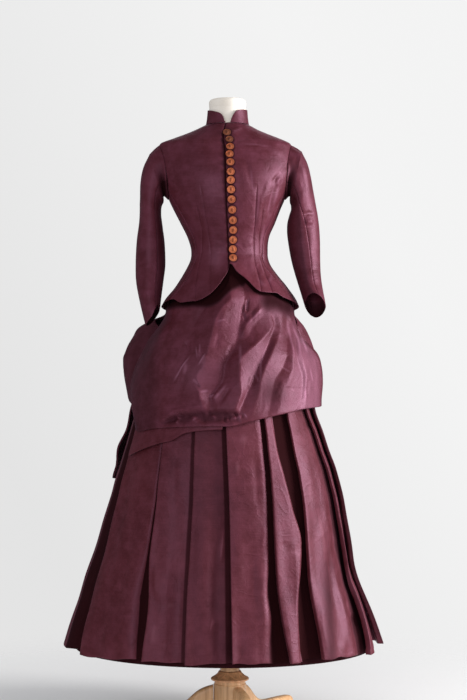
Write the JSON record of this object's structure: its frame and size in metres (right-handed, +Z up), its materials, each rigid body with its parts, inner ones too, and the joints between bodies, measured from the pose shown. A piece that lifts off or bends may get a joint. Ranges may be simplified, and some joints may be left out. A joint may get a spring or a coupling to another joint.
{
  "type": "bustle dress on a dress form",
  "caption": "Fitted buttoned basque with long sleeves, draped apron overskirt, bustle drapery and knife-pleated skirt, worn by a limbless dress form on a wooden tripod stand.",
  "frame": {"origin": "centre of the bounding box in X and Y, on the floor under the feet", "axes": "+Z up; the dress faces -Y, so the buttons are on the -Y side and the bustle on the +Y side; +X is the wearer's left"},
  "size_m": [0.813, 0.7212, 1.57],
  "materials": {
    "silk_taffeta": "crisp plum silk taffeta",
    "button_metal": "domed copper-coloured metal",
    "form_jersey": "plain cream jersey",
    "pole_wood": "varnished light wood",
    "dark_wood": "turned dark brown wood"
  },
  "bodies": {
    "root": {"apron_band": "silk_taffeta", "apron_front": "silk_taffeta", "back_pouf": "silk_taffeta", "back_tail": "silk_taffeta", "bodice_back_left": "silk_taffeta", "bodice_back_right": "silk_taffeta", "bodice_front_left": "silk_taffeta", "bodice_front_right": "silk_taffeta", "bodice_side_back_left": "silk_taffeta", "bodice_side_back_right": "silk_taffeta", "bodice_underarm_left": "silk_taffeta", "bodice_underarm_right": "silk_taffeta", "button_01": "button_metal", "button_02": "button_metal", "button_03": "button_metal", "button_04": "button_metal", "button_05": "button_metal", "button_06": "button_metal", "button_07": "button_metal", "button_08": "button_metal", "button_09": "button_metal", "button_10": "button_metal", "button_11": "button_metal", "button_12": "button_metal", "button_13": "button_metal", "button_14": "button_metal", "button_15": "button_metal", "collar_left": "silk_taffeta", "collar_right": "silk_taffeta", "flounce_back": "silk_taffeta", "flounce_front": "silk_taffeta", "form_neck_cap": "form_jersey", "form_torso": "form_jersey", "foundation_back": "silk_taffeta", "foundation_front": "silk_taffeta", "sleeve_under_left": "silk_taffeta", "sleeve_under_right": "silk_taffeta", "sleeve_upper_left": "silk_taffeta", "sleeve_upper_right": "silk_taffeta", "stand_cone": "dark_wood", "stand_hub": "pole_wood", "stand_leg_1": "pole_wood", "stand_leg_2": "pole_wood", "stand_leg_3": "pole_wood", "stand_pole": "pole_wood", "waistband": "silk_taffeta"}
  },
  "joints": []
}
